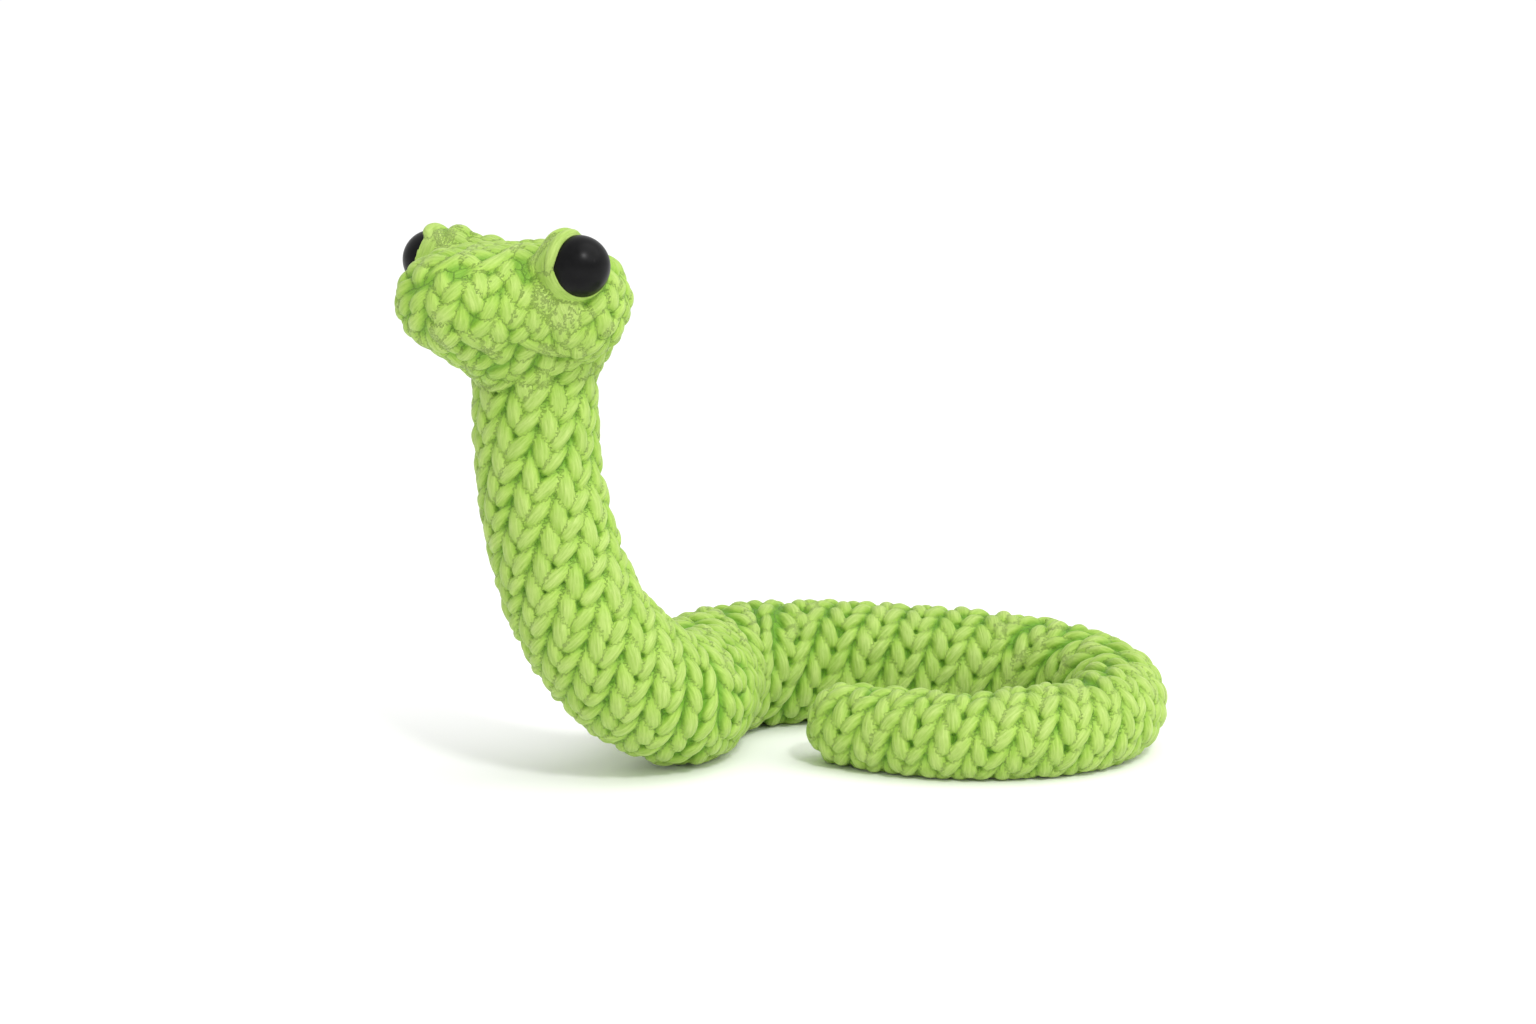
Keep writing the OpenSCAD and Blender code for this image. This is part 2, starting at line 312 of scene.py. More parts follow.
def buildCore():
    n = core["around"]
    ring = np.linspace(0, 2 * math.pi, n, endpoint=False)
    tipLength = body["tipRadius"] * math.pi / 2
    stations = np.concatenate([
        np.linspace(-tipLength * 0.985, 0, core["tipRings"])[:-1],
        np.arange(0, headAt + 0.0035, core["step"])])
    verts = []
    for s in stations:
        p, _ = surfaceAt(np.full(n, s), ring, core["inset"])
        verts.extend(p)
    faces = cappedGrid(len(stations), n)
    rings, sides = core["ballRings"], core["ballSides"]
    for ahead, left, up, radius in headBalls():
        start = len(verts)
        for i in range(rings):
            th = math.pi * (i + 0.02) / (rings - 0.96)
            for j in range(sides):
                ph = 2 * math.pi * j / sides
                out = (math.sin(th) * math.cos(ph), math.sin(th) * math.sin(ph), -math.cos(th))
                r = radius - core["headInset"]
                verts.append(onHead(ahead + r * out[0], left + r * out[1], up + r * out[2]))
        faces += cappedGrid(rings, sides, start)
    obj = meshObject("filling", verts, faces)
    return withModifiers(obj, ("REMESH", {"mode": "VOXEL", "voxel_size": core["voxel"]}),
                         ("SMOOTH", {"factor": 0.5, "iterations": core["smooth"]}))


filling = buildCore()
fillTree = BVHTree.FromObject(filling, bpy.context.evaluated_depsgraph_get())
print("filling", len(filling.data.vertices), "vertices")


def onFilling(p):
    hit, normal, _, _ = fillTree.find_nearest(Vector(p))
    return np.array(hit), np.array(normal)


# Each V of the knitting is two legs. A leg is narrow and tucked under at the top, full and
# blunt at the bottom. The columns lean, so its two legs differ.
stitch = {
    "across": 0.00725,         # width of one V
    "rows": 0.0049,            # height of one row
    "lean": math.radians(21),  # lean of the columns, right-handed
    "top": 0.0004,             # how far the yarn stands past the body's radius
    "tuck": 0.0014,            # how deep the narrow end goes
    "tooClose": 0.0023, "tooFar": 0.0030,
    "around": 14, "steps": 17,
    # left leg, right leg: middle from the foot of its V in widths and rows, tilt from upright
    "middle": ((-0.316, -0.218), (0.272, -0.398)),
    "tilt": (math.radians(-4), math.radians(42.5)),
    "length": (0.0094, 0.0088), "width": (0.0032, 0.0028), "depth": (0.0026, 0.0025),
    "search": 0.00025, "searchAround": 128,
    "reach": 0.0006,           # how far from its true middle a leg may be placed
    "gapTries": 16000, "gapLength": 0.85,
    # how one leg differs from the next
    "swing": 0.05, "smallest": 0.95, "largest": 1.06, "thinnest": 0.94, "thickest": 1.08,
}


def latticeLegs(side):
    tip = -body["tipRadius"] * 1.45
    s = np.arange(tip, headAt - 0.001, stitch["search"])
    half = np.linspace(-math.pi / 2, math.pi / 2 * (1 + body["overTop"]), stitch["searchAround"])
    sg, hg = np.meshgrid(s, half, indexing="ij")
    sg, hg = sg.ravel(), hg.ravel()
    within = hg < pathAt("reach%d" % side, sg)
    sg, hg = sg[within], hg[within]
    r = pathAt("radius", np.maximum(sg, 0))
    lever = r * np.cos(np.clip(-sg / r, 0, math.pi / 2)) * hg
    right, square = pathAt("right%d" % side, sg), pathAt("square%d" % side, sg)
    along = pathAt("along", sg)
    past = np.minimum(sg, 0)
    across = (pathAt("across%d" % side, sg)
              + past * (right * along).sum(-1) + lever * (right * square).sum(-1))
    high = pathAt("high%d" % side, sg) + past * along[:, 2] + lever * square[:, 2]
    column, row, off = latticeCells(across, high)
    order = np.lexsort((off, row, column))
    column, row, off, sg, hg = column[order], row[order], off[order], sg[order], hg[order]
    first = np.ones(len(column), bool)
    first[1:] = (column[1:] != column[:-1]) | (row[1:] != row[:-1])
    keep = first & (off < stitch["reach"])
    turn = hg[keep] if side == 0 else -hg[keep]
    return sg[keep], pathAt("angle%d" % side, sg[keep]) + turn, column[keep] % 2


def latticeCells(across, high, scale=1.0):
    # which leg of the knitting a place belongs to, and how far it is from the leg's middle
    lean = stitch["lean"]
    wide, tall = stitch["across"] * scale, stitch["rows"] * scale
    a = (across * math.cos(lean) - high * math.sin(lean)) / wide
    b = (across * math.sin(lean) + high * math.cos(lean)) / tall
    cells = []
    for middleA, middleB in stitch["middle"]:
        column, row = np.round(a - middleA), np.round(b - middleB)
        off = np.hypot((a - middleA - column) * wide, (b - middleB - row) * tall)
        cells.append((column, row, off))
    left, right = cells
    near = right[2] < left[2]
    column = np.where(near, 2 * right[0] + 1, 2 * left[0]).astype(int)
    return column, np.where(near, right[1], left[1]).astype(int), np.minimum(left[2], right[2])


def legDirection(s, angle, side, tilt):
    # world direction of a leg that leans by tilt from upright on the unrolled body
    along, left, up = pathAt("along", s), pathAt("left", s), pathAt("up", s)
    want = pathAt("right%d" % side, s) * math.sin(tilt) + np.array([0, 0, math.cos(tilt)])
    turn = (up * math.cos(angle) - left * math.sin(angle)) * (1 if side == 0 else -1)
    flat, square = pathAt("flat%d" % side, s), pathAt("square%d" % side, s)
    return unit(along * (want @ flat) + turn * (want @ square))


def oneLeg(at, way, hand, length=1.0, width=1.0, depth=1.0, lift=0.0):
    # hand 0 is the left leg of a V, 1 the right
    return {"at": at, "way": way, "lift": lift, "cover": core["inset"], "tuck": stitch["tuck"],
            "length": stitch["length"][hand] * length, "width": stitch["width"][hand] * width,
            "depth": stitch["depth"][hand] * depth}


def bodyLegs():
    legs = []
    for side in (0, 1):
        s, angle, hands = latticeLegs(side)
        pts, _ = surfaceAt(s, angle, core["inset"])
        for i, hand in enumerate(hands):
            legs.append(oneLeg(pts[i], legDirection(s[i], angle[i], side, stitch["tilt"][hand]), hand))
    return legs


def treeOf(points):
    tree = KDTree(len(points))
    for i, p in enumerate(points):
        tree.insert(p, i)
    tree.balance()
    return tree


def thinned(legs, gap):
    # drops a leg that lies almost on an earlier one
    tree = treeOf([leg["at"] for leg in legs])
    dropped = set()
    kept = []
    for i, leg in enumerate(legs):
        if i in dropped:
            continue
        dropped.update(j for _, j, _ in tree.find_range(leg["at"], gap) if j > i)
        kept.append(leg)
    return kept


def gapLegs(legs):
    # extra legs where the two sides leave bare filling
    tree = treeOf([leg["at"] for leg in legs])
    extra = []
    for _ in range(stitch["gapTries"]):
        s = dice.uniform(-body["tipRadius"] * 1.5, headAt - 0.002)
        angle = dice.uniform(0, 2 * math.pi)
        p = surfaceAt(np.array([s]), np.array([angle]), core["inset"])[0][0]
        if tree.find(p)[2] < stitch["tooFar"]:
            continue
        if any(np.linalg.norm(p - q["at"]) < stitch["tooFar"] for q in extra):
            continue
        side = 0 if math.cos(angle - float(pathAt("angle0", s))) > 0 else 1
        hand = dice.randrange(2)
        way = legDirection(s, angle, side, stitch["tilt"][hand])
        extra.append(oneLeg(p, way, hand, stitch["gapLength"]))
    return extra


# Long strands that cross the head, and the smooth parts by the eyes. Ahead, left, up in mm.
headKnit = {
    "scale": 0.76, "length": 0.76, "width": 1.08, "tuck": 0.0007,
    "tooClose": 0.0019, "tooFar": 0.0026,
    "clear": 0.0071,                   # how near to the middle of a bead the stitches go
    "cordClear": 0.0018,               # and to the middle of a long strand
    "reach": 0.0012,
    "top": 0.72,                       # how level the head is where its stitches lie crosswise
    "tiltSpread": 0.12, "topTilt": 0.2, "topTiltSpread": 0.25,
    "shortest": 0.92, "longest": 1.12,
    "topCords": [
        [(28.5, 0, 16.5), (26, 3, 20), (22, 4, 21.5), (15, 0, 22.5), (4, -7, 23)],
        [(25.5, 6.5, 18), (22, 8, 19.5), (16, 8, 21), (10, 6, 22.7), (2, 2, 23.5)],
    ],
    "sideCords": [                     # on both sides
        [(26.5, 7, 10), (23, 7, 7), (18, 7, 4.5), (14, 7, 2)],
        [(28.5, 2, 11), (25.5, 3, 6.5), (20, 2.5, 3.5)],
        [(17, 11, 7.5), (12, 12, 5), (7.5, 13, 3.8), (3, 15, 3.2)],
        [(14, 12.7, 18.5), (11, 12.5, 21.5), (9.5, 15, 24), (6, 17, 25.2)],
        [(13, 12.5, 16), (10.5, 12, 20), (7, 13.5, 23.5), (2, 15, 24.5)],
    ],
    "cordWidth": 0.0014, "cordSides": 10,
    "pads": [                          # place, then length, width and depth over a leg's own
        ((9.6, 17.4, 9.6), 0.95, 2.3, 1.0),
        ((12.6, 15.0, 12.5), 0.80, 1.8, 1.0),
    ],
    "padLift": 0.0002,
    "moundRings": 22, "moundAround": 64,
    "cover": 0.0004,                   # how far past the middle of a bead its mound reaches
    "browFrom": math.radians(-12), "browFromFar": math.radians(48), "browTo": math.radians(108),
    "browWidth": 0.0012, "browOut": 0.0057, "browAhead": 0.0006,
    "browTuck": 0.0022,                # how far back the ends of a brow go
    "browSteps": 44,
}


def headPlace(p, side=1):
    return onHead(p[0] / 1000, side * p[1] / 1000, p[2] / 1000)


def smoothRun(points, step=0.0005):
    pts = np.array(points)
    at = np.concatenate([[0], np.cumsum(np.linalg.norm(np.diff(pts, axis=0), axis=1))])
    return splineThrough(at, pts, np.arange(0, at[-1], step))


def headCords():
    runs = [smoothRun([headPlace(p) for p in cord]) for cord in headKnit["topCords"]]
    for side in (1, -1):
        runs += [smoothRun([headPlace(p, side) for p in cord]) for cord in headKnit["sideCords"]]
    return runs


def headArc(pts):
    # distance round the head at eye level, turning left
    ahead, left = (pts - head["nod"]) @ headAhead - 0.007, (pts - head["nod"]) @ headLeft
    turn = np.arctan2(left, ahead)
    level = np.abs((pts - head["nod"]) @ headUp - head["cheek"][2]) < headKnit["reach"]
    order = np.argsort(turn[level])
    t, r = turn[level][order], np.hypot(ahead, left)[level][order]
    arc = np.concatenate([[0], np.cumsum(np.diff(t) * (r[1:] + r[:-1]) / 2)])
    return np.interp(turn, t, arc) - np.interp(0, t, arc)


def headLegs(existing, runs):
    verts = coords(filling.data)
    near = verts[(verts - head["nod"]) @ headUp > -0.0025]
    near = near[np.linalg.norm(near - head["nod"], axis=1) < 0.05]
    column, row, off = latticeCells(headArc(near), (near - head["nod"]) @ headUp, headKnit["scale"])
    busy = treeOf(list(np.concatenate(runs)))
    bodyTree = treeOf([leg["at"] for leg in existing])
    best = {}
    for i in range(len(near)):
        key = (column[i], row[i])
        if off[i] < headKnit["reach"] and (key not in best or off[i] < off[best[key]]):
            best[key] = i
    picks = [(i, int(column[i] % 2)) for i in best.values()]
    rest = list(range(len(near)))
    dice.shuffle(rest)
    picks += [(i, None) for i in rest]
    chosen = []
    legs = []
    for i, hand in picks:
        p = near[i]
        gap = headKnit["tooFar"] if hand is None else headKnit["tooClose"]
        if busy.find(p)[2] < headKnit["cordClear"] or bodyTree.find(p)[2] < gap:
            continue
        if min(np.linalg.norm(p - eyeCentre(k)) for k in (1, -1)) < headKnit["clear"]:
            continue
        if any(np.linalg.norm(p - q) < gap for q in chosen):
            continue
        chosen.append(p)
        n = onFilling(p)[1]
        top = n @ headUp > headKnit["top"]
        guide = headLeft * 0.8 - headAhead * 0.6 if top else headUp
        guide = unit(guide - (guide @ n) * n)
        right = np.cross(guide, n)
        hand = dice.randrange(2) if hand is None else hand
        tilt = stitch["tilt"][hand] + dice.gauss(0, headKnit["tiltSpread"])
        if top:
            tilt = dice.gauss(headKnit["topTilt"], headKnit["topTiltSpread"])
        way = unit(guide * math.cos(tilt) + right * math.sin(tilt))
        longer = headKnit["length"] * dice.uniform(headKnit["shortest"], headKnit["longest"])
        legs.append(oneLeg(p, way, hand, longer, headKnit["width"]))
    for side in (1, -1):
        for at, length, width, depth in headKnit["pads"]:
            p, n = onFilling(headPlace(at, side))
            way = unit(np.cross(headLeft * side, n) + headUp * 0.2)
            legs.append(oneLeg(p, way, 0, length, width, depth, headKnit["padLift"]))
    for leg in legs:
        leg["cover"] = core["headInset"]
        leg["tuck"] = headKnit["tuck"]
    return legs


def legTemplate():
    # closed drop, narrow sunken end first: along, across, sink, height
    rows = []
    n, m = stitch["steps"], stitch["around"]
    for i in range(n):
        t = -math.cos(math.pi * i / (n - 1))
        if t < 0.2:
            full = ((1 + t) / 1.2) ** 0.55
        else:
            full = max(0.0, 1 - ((t - 0.2) / 0.8) ** 2.6) ** 0.5
        full = max(full, 0.05)
        sink = (max(0.0, 0.2 - t) / 1.2) ** 1.5
        for j in range(m):
            th = 2 * math.pi * j / m
            rows.append((t, full * math.cos(th), sink, full * math.sin(th)))
    return rows


# All yarn before it is fused: points, faces, and which piece of strand each point belongs to.
yarn = {"verts": [], "faces": [], "strand": []}
strands = {"at": [], "way": [], "across": [], "start": [], "number": []}
strandNumbers = {"cords": 5000, "mounds": 6000, "brows": 6010}     # the legs count from 0


def newStrand(at, way, across, start, number):
    for key, value in zip(strands, (at, way, across, start, number)):
        strands[key].append(value)
    return len(strands["at"]) - 1


def layLegs(legs):
    shape = legTemplate()
    for number, leg in enumerate(legs):
        normal = onFilling(leg["at"])[1]
        way = unit(leg["way"] - (leg["way"] @ normal) * normal)
        swing = dice.gauss(0, stitch["swing"])
        across = np.cross(normal, way)
        way, across = (way * math.cos(swing) + across * math.sin(swing),
                       across * math.cos(swing) - way * math.sin(swing))
        size = dice.uniform(stitch["smallest"], stitch["largest"])
        longHalf = leg["length"] / 2 * size
        wideHalf = leg["width"] / 2 * size * dice.uniform(stitch["thinnest"], stitch["thickest"])
        deepHalf = leg["depth"] / 2 * size
        middle = leg["cover"] + stitch["top"] + leg["lift"] - deepHalf + dice.gauss(0, 0.0001)
        bow = dice.gauss(0.0002, 0.00015)
        strand = newStrand(leg["at"], way, across, 0.0, number)
        start = len(yarn["verts"])
        for t, y, sink, z in shape:
            flat = leg["at"] - way * longHalf * t + across * (wideHalf * y + bow * (1 - t * t))
            hit, n = onFilling(flat)
            yarn["verts"].append(hit + n * (middle - sink * leg["tuck"] + z * deepHalf))
            yarn["strand"].append(strand)
        yarn["faces"] += cappedGrid(stitch["steps"], stitch["around"], start)


def layTube(centres, normals, radii, number):
    # a strand swept along its own line
    sides = headKnit["cordSides"]
    pts = np.array(centres)
    way = unit(np.gradient(pts, axis=0))
    across = unit(np.cross(np.array(normals), way))
    high = np.cross(way, across)
    step = np.concatenate([[0], np.cumsum(np.linalg.norm(np.diff(pts, axis=0), axis=1))])
    start = len(yarn["verts"])
    for i in range(len(pts)):
        strand = newStrand(pts[i], way[i], across[i], step[i], number)
        for j in range(sides):
            a = 2 * math.pi * j / sides
            yarn["verts"].append(pts[i] + (across[i] * math.cos(a) + high[i] * math.sin(a)) * radii[i])
            yarn["strand"].append(strand)
    yarn["faces"] += cappedGrid(len(pts), sides, start)


def layCords(runs, first):
    for number, run in enumerate(runs):
        n = len(run)
        t = np.linspace(-1, 1, n)
        taper = (1 - np.abs(t) ** 3.2).clip(0.03) ** 0.5
        wave = 1 + 0.07 * np.sin(np.arange(n) * 0.37 + number * 2.1)
        radii = headKnit["cordWidth"] * taper * wave
        hits = [onFilling(p) for p in run]
        sink = headKnit["cordWidth"] * (0.2 + 0.9 * np.abs(t) ** 4)
        height = core["headInset"] + stitch["top"] + 0.0003 - sink - headKnit["cordWidth"]
        centres = [hit + normal * k for (hit, normal), k in zip(hits, height)]
        layTube(centres, [normal for _, normal in hits], radii, first + number)


def layMounds(first):
    # smooth felted yarn round each bead
    rings, sides = headKnit["moundRings"], headKnit["moundAround"]
    radius = head["moundRadius"]
    for side in (1, -1):
        way = eyeWay(side)
        flat = unit(np.cross(way, headUp))
        high = np.cross(flat, way)
        start = len(yarn["verts"])
        marks = []
        for j in range(sides):
            a = 2 * math.pi * j / sides
            out = flat * math.cos(a) + high * math.sin(a)
            turn = high * math.cos(a) - flat * math.sin(a)
            at = moundCentre(side) + out * radius
            marks.append(newStrand(at, turn, way, a * radius, first + side))
        opening = math.acos((head["moundBack"] + headKnit["cover"]) / radius)
        for i in range(rings):
            th = opening + (0.98 * math.pi - opening) * i / (rings - 1)
            for j in range(sides):
                a = 2 * math.pi * j / sides
                out = flat * math.cos(a) + high * math.sin(a)
                wave = (1 + 0.016 * math.sin(3 * a + side + 2.0 * th)
                        + 0.012 * math.sin(5 * a - 3.1 * th))
                reach = radius * wave
                away = out * math.sin(th) + way * math.cos(th)
                yarn["verts"].append(moundCentre(side) + away * reach)
                yarn["strand"].append(marks[j])
        yarn["faces"] += cappedGrid(rings, sides, start)


def layBrows(number):
    # a thick strand that hoods the front and top of each bead
    n = headKnit["browSteps"]
    for side in (1, -1):
        way = eyeWay(side)
        flat = unit(np.cross(way, headUp)) * side
        high = unit(np.cross(flat, way) * side)
        t = np.linspace(-1, 1, n)
        first = headKnit["browFrom"] if side == 1 else headKnit["browFromFar"]
        a = first + (headKnit["browTo"] - first) * (t + 1) / 2
        out = flat * np.cos(a)[:, None] + high * np.sin(a)[:, None]
        ahead = headKnit["browAhead"] - headKnit["browTuck"] * np.abs(t) ** 3
        centres = eyeCentre(side) + out * headKnit["browOut"] + way * ahead[:, None]
        radii = headKnit["browWidth"] * (1 - np.abs(t) ** 3).clip(0.05) ** 0.5
        layTube(centres, [way] * n, radii, number + side)


cordRuns = headCords()
bodyStitches = thinned(bodyLegs(), stitch["tooClose"])
bodyStitches += gapLegs(bodyStitches)
headStitches = headLegs(bodyStitches, cordRuns)
print("stitches", len(bodyStitches), "on the body,", len(headStitches), "on the head")
layLegs(bodyStitches + headStitches)
layCords(cordRuns, strandNumbers["cords"])
layMounds(strandNumbers["mounds"])
layBrows(strandNumbers["brows"])
print("laid", len(yarn["verts"]), "vertices")

# The yarn felts a little where it touches: it is fused with the filling, then softened.
knit = {
    "voxel": 0.00029, "soften": 0.50, "passes": 1,
    "floorSoft": 0.0007,       # how gently it flattens on the floor
    "socket": 0.00025,         # room between a bead and its socket
    # height over the filling that paints shade into the crevices: the head's extra share, and its cap
    "headShadeHeight": 0.6, "mostShadeHeight": 1.2,
}


def fuseKnit():
    verts = yarn["verts"] + list(coords(filling.data))
    start = len(yarn["verts"])
    faces = yarn["faces"] + [tuple(start + v for v in p.vertices) for p in filling.data.polygons]
    obj = meshObject("knit", verts, faces)
    withModifiers(obj, ("REMESH", {"mode": "VOXEL", "voxel_size": knit["voxel"]}),
                  ("SMOOTH", {"factor": knit["soften"], "iterations": knit["passes"]}))
    pts = coords(obj.data)
    for side in (1, -1):
        # the bead presses its socket into the knitting
        away = pts - eyeCentre(side)
        reach = np.linalg.norm(away, axis=1)
        radius = head["eyeRadius"] + knit["socket"]
        press = (reach < radius) & (away @ eyeWay(side) < headKnit["cover"] * 0.5)
        pts[press] = eyeCentre(side) + away[press] / reach[press, None] * radius
    soft = knit["floorSoft"]
    low = pts[:, 2] < soft * 2
    pts[low, 2] = soft * np.log1p(np.exp((pts[low, 2] - 0.0001) / soft * 2)) / 2
    obj.data.vertices.foreach_set("co", pts.astype(np.float32).ravel())
    obj.data.update()
    return obj


def writeYarn(mesh, grain, shadeHeight):
    mesh.attributes.new("grain", "FLOAT_VECTOR", "POINT").data.foreach_set("vector", grain.ravel())
    mesh.attributes.new("shadeHeight", "FLOAT", "POINT").data.foreach_set("value", shadeHeight.ravel())


def markYarn(obj):
    # every point learns its place on its own strand, and how far it stands out; that height paints
    # shade into the crevices and a lighter colour onto the crests
    pts = coords(obj.data)
    tree = treeOf(yarn["verts"])
    owner = np.array([yarn["strand"][tree.find(p)[1]] for p in pts])
    own = {key: np.array(values, float)[owner] for key, values in strands.items()}
    away = pts - own["at"]
    grain = np.stack([((away * own["way"]).sum(-1) + own["start"]) * 1000,
                      (away * own["across"]).sum(-1) * 1000, own["number"]], -1)
    shadeHeight = np.array([fillTree.find_nearest(Vector(p))[3] for p in pts])
    onTheHead = np.clip(((pts - head["nod"]) @ headUp + 0.002) / 0.004, 0, 1)
    shadeHeight += onTheHead * (core["inset"] - core["headInset"]) * knit["headShadeHeight"]
    shadeHeight = np.clip(shadeHeight / (core["inset"] + stitch["top"]), 0, knit["mostShadeHeight"])
    writeYarn(obj.data, grain.astype(np.float32), shadeHeight.astype(np.float32))


whole = fuseKnit()
markYarn(whole)
print("knit", len(whole.data.vertices), "vertices")


def stationOf(pts):
    tree = treeOf(path["centre"])
    return np.array([path["s"][tree.find(p)[1]] for p in pts])


def readAttribute(mesh, name, field, width):
    out = np.empty(len(mesh.vertices) * width, np.float32)
    mesh.attributes[name].data.foreach_get(field, out)
    return out.reshape(-1, width)


def outerSkin(mesh):
    # which points are on the one outer surface; the small closed pockets inside are not
    ends = np.empty(len(mesh.edges) * 2, np.int32)
    mesh.edges.foreach_get("vertices", ends)
    a, b = ends.reshape(-1, 2).T
    label = np.arange(len(mesh.vertices))
    while True:
        low = np.minimum(label[a], label[b])
        lower = label.copy()
        np.minimum.at(lower, label[a], low)
        np.minimum.at(lower, label[b], low)
        lower = lower[lower]
        if (lower == label).all():
            break
        label = lower
    outer = label == np.bincount(label).argmax()
    print("pockets left out:", int((~outer).sum()), "of", len(outer), "vertices")
    return outer


def splitKnit(obj):
    # one sleeve for each joint, from the middle of one link to the middle of the next
    mesh = obj.data
    pts = coords(mesh)
    station = stationOf(pts)
    away = pts - head["nod"]
    station[(away @ headUp > 0.001) & (np.linalg.norm(away, axis=1) < 0.06)] = headAt
    n = len(mesh.polygons)
    loops = np.empty(len(mesh.loops), np.int32)
    mesh.loops.foreach_get("vertex_index", loops)
    starts, totals = np.empty(n, np.int32), np.empty(n, np.int32)
    mesh.polygons.foreach_get("loop_start", starts)
    mesh.polygons.foreach_get("loop_total", totals)
    middle = (station[loops[starts]] + station[loops[starts + 2]]) / 2
    link = body["linkLength"]
    joint = np.clip(np.floor((middle + link / 2) / link).astype(int), 1, len(knotAt) - 1)
    joint[~outerSkin(mesh)[loops[starts]]] = 0     # no sleeve takes these
    normals = np.empty(len(mesh.vertices) * 3, np.float32)
    mesh.vertices.foreach_get("normal", normals)
    normals = normals.reshape(-1, 3)
    grain, shadeHeight = readAttribute(mesh, "grain", "vector", 3), readAttribute(mesh, "shadeHeight", "value", 1)
    sleeves = []
    for k, name in enumerate(coils + rises, 1):
        used = {}
        faces = []
        for f in np.where(joint == k)[0]:
            corners = loops[starts[f]:starts[f] + totals[f]]
            faces.append([used.setdefault(int(v), len(used)) for v in corners])
        old = np.fromiter(used.keys(), int)
        sleeve = meshObject("knit_" + name, pts[old], faces)
        writeYarn(sleeve.data, grain[old], shadeHeight[old])
        sleeve.data.normals_split_custom_set_from_vertices([tuple(v) for v in normals[old]])
        sleeves.append((name, sleeve))
    return sleeves


sleeves = splitKnit(whole)
bpy.data.objects.remove(whole)
bpy.data.objects.remove(filling)
print("sleeves", len(sleeves))


def material(name):
    mat = bpy.data.materials.new(name)
    mat.use_nodes = True
    return mat, mat.node_tree, mat.node_tree.nodes["Principled BSDF"]


def node(tree, kind, **values):
    n = tree.nodes.new(kind)
    for key, value in values.items():
        setattr(n, key, value)
    return n


def ramp(tree, source, stops):
    r = tree.nodes.new("ShaderNodeValToRGB")
    while len(r.color_ramp.elements) < len(stops):
        r.color_ramp.elements.new(0.5)
    for e, (at, colour) in zip(r.color_ramp.elements, stops):
        e.position = at
        e.color = (*colour, 1)
    tree.links.new(source, r.inputs[0])
    return r.outputs[0]


def multiply(tree, a, b, factor):
    m = node(tree, "ShaderNodeMix", data_type="RGBA", blend_type="MULTIPLY")
    m.inputs["Factor"].default_value = factor
    tree.links.new(a, m.inputs["A"])
    tree.links.new(b, m.inputs["B"])
    return m.outputs["Result"]


def strandGroup():
    # fine fibres that run along each strand
    g = bpy.data.node_groups.new("strandFibres", "ShaderNodeTree")
    face = g.interface
    face.new_socket("Grain", in_out="INPUT", socket_type="NodeSocketVector")
    for name, value in (("Along", 0.35), ("Across", 3.2), ("Fuzz Scale", 900.0)):
        face.new_socket(name, in_out="INPUT", socket_type="NodeSocketFloat").default_value = value
    for name in ("Streak", "Strand Tone", "Fuzz"):
        face.new_socket(name, in_out="OUTPUT", socket_type="NodeSocketFloat")
    gin, gout = g.nodes.new("NodeGroupInput"), g.nodes.new("NodeGroupOutput")
    split = node(g, "ShaderNodeSeparateXYZ")
    g.links.new(gin.outputs["Grain"], split.inputs[0])
    join = node(g, "ShaderNodeCombineXYZ")
    for i, name in enumerate(("Along", "Across", None)):
        times = node(g, "ShaderNodeMath", operation="MULTIPLY")
        times.inputs[1].default_value = 7.31
        g.links.new(split.outputs[i], times.inputs[0])
        if name:
            g.links.new(gin.outputs[name], times.inputs[1])
        g.links.new(times.outputs[0], join.inputs[i])
    streak = node(g, "ShaderNodeTexNoise")
    streak.inputs["Scale"].default_value = 1.0
    streak.inputs["Detail"].default_value = 3.0
    g.links.new(join.outputs[0], streak.inputs["Vector"])
    g.links.new(streak.outputs["Fac"], gout.inputs["Streak"])
    tone = node(g, "ShaderNodeTexWhiteNoise", noise_dimensions="1D")
    g.links.new(split.outputs[2], tone.inputs["W"])
    g.links.new(tone.outputs["Value"], gout.inputs["Strand Tone"])
    spot = node(g, "ShaderNodeTexCoord")
    fuzz = node(g, "ShaderNodeTexNoise")
    fuzz.inputs["Detail"].default_value = 4.0
    g.links.new(spot.outputs["Object"], fuzz.inputs["Vector"])
    g.links.new(gin.outputs["Fuzz Scale"], fuzz.inputs["Scale"])
    g.links.new(fuzz.outputs["Fac"], gout.inputs["Fuzz"])
    return g


fibres = strandGroup()

yarnFinish = {
    # painted shade down in the crevices, the yarn's own green, and painted light on the crests
    "paintedCreaseShade": (0.150, 0.360, 0.014),
    "body": (0.345, 0.548, 0.070),
    "paintedCrestLight": (0.412, 0.574, 0.126),
    "dull": (0.92, 0.94, 0.88), "bright": (1.03, 1.02, 1.05),
    "lineDark": (0.72, 0.80, 0.58), "lineLight": (1.17, 1.10, 1.42),
    "lineStrength": 0.85,
    "roughness": 0.58, "roughSpread": (-0.08, 0.10),
    "bump": 0.85, "bumpDepth": 0.0004, "streakShare": 0.75, "fuzzShare": 0.25,
    "along": 0.35, "across": 2.5,      # how fast the fibres change along and across a strand
    "specular": 0.35, "sheen": 0.08, "sheenRoughness": 0.5,
}


